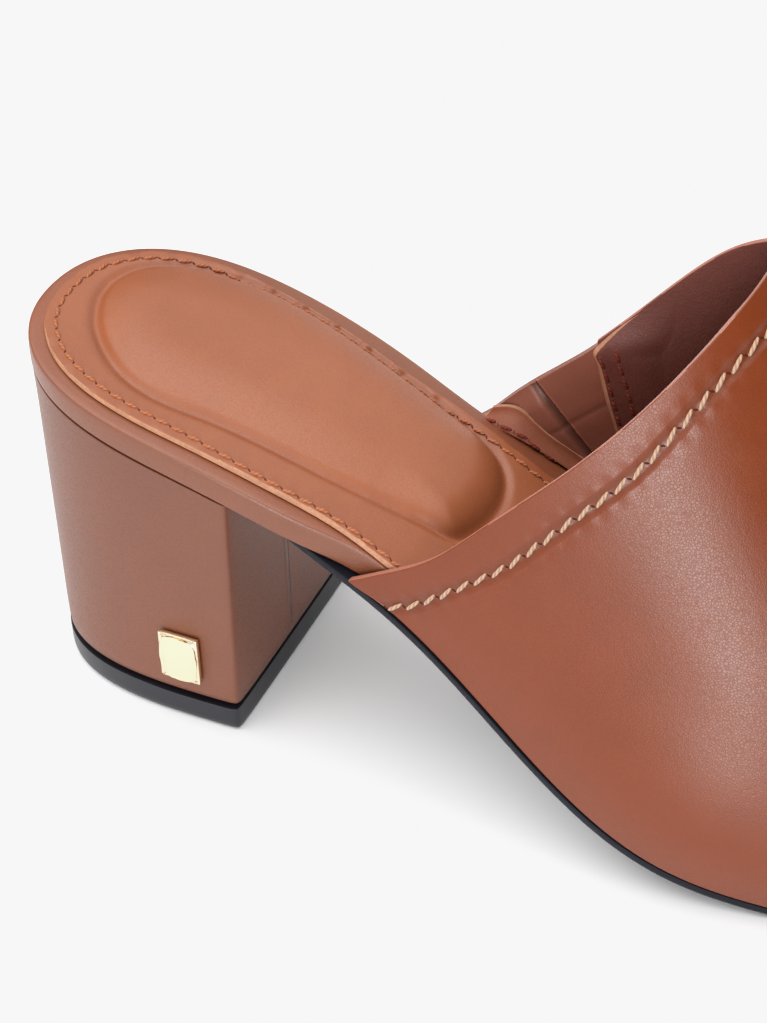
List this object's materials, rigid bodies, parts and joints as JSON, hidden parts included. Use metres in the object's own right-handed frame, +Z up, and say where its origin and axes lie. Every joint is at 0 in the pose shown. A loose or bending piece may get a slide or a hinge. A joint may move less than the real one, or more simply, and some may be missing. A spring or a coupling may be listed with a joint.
{
  "type": "block heel mule",
  "caption": "Right-foot backless mule with a closed toe, wrapped block heel, padded insole and an elastic side panel.",
  "frame": {"origin": "centre of the heel's top piece, on the floor", "axes": "+X towards the toe, +Y towards the medial side, +Z up"},
  "size_m": [0.232, 0.0808, 0.1044],
  "materials": {
    "top_piece_rubber": "satin",
    "outsole_rubber": "satin",
    "heel_leather": "satin",
    "plate_metal": "polished",
    "board_leather": "satin",
    "sock_leather": "satin",
    "vamp_leather": "satin",
    "gore_leather": "satin"
  },
  "bodies": {
    "root": {"top_piece": "top_piece_rubber", "heel_block": "heel_leather", "heel_plate": "plate_metal", "outsole": "outsole_rubber", "insole_board": "board_leather", "sock": "sock_leather", "upper": "vamp_leather", "gore": "gore_leather", "gore_tab": "gore_leather"}
  },
  "joints": []
}
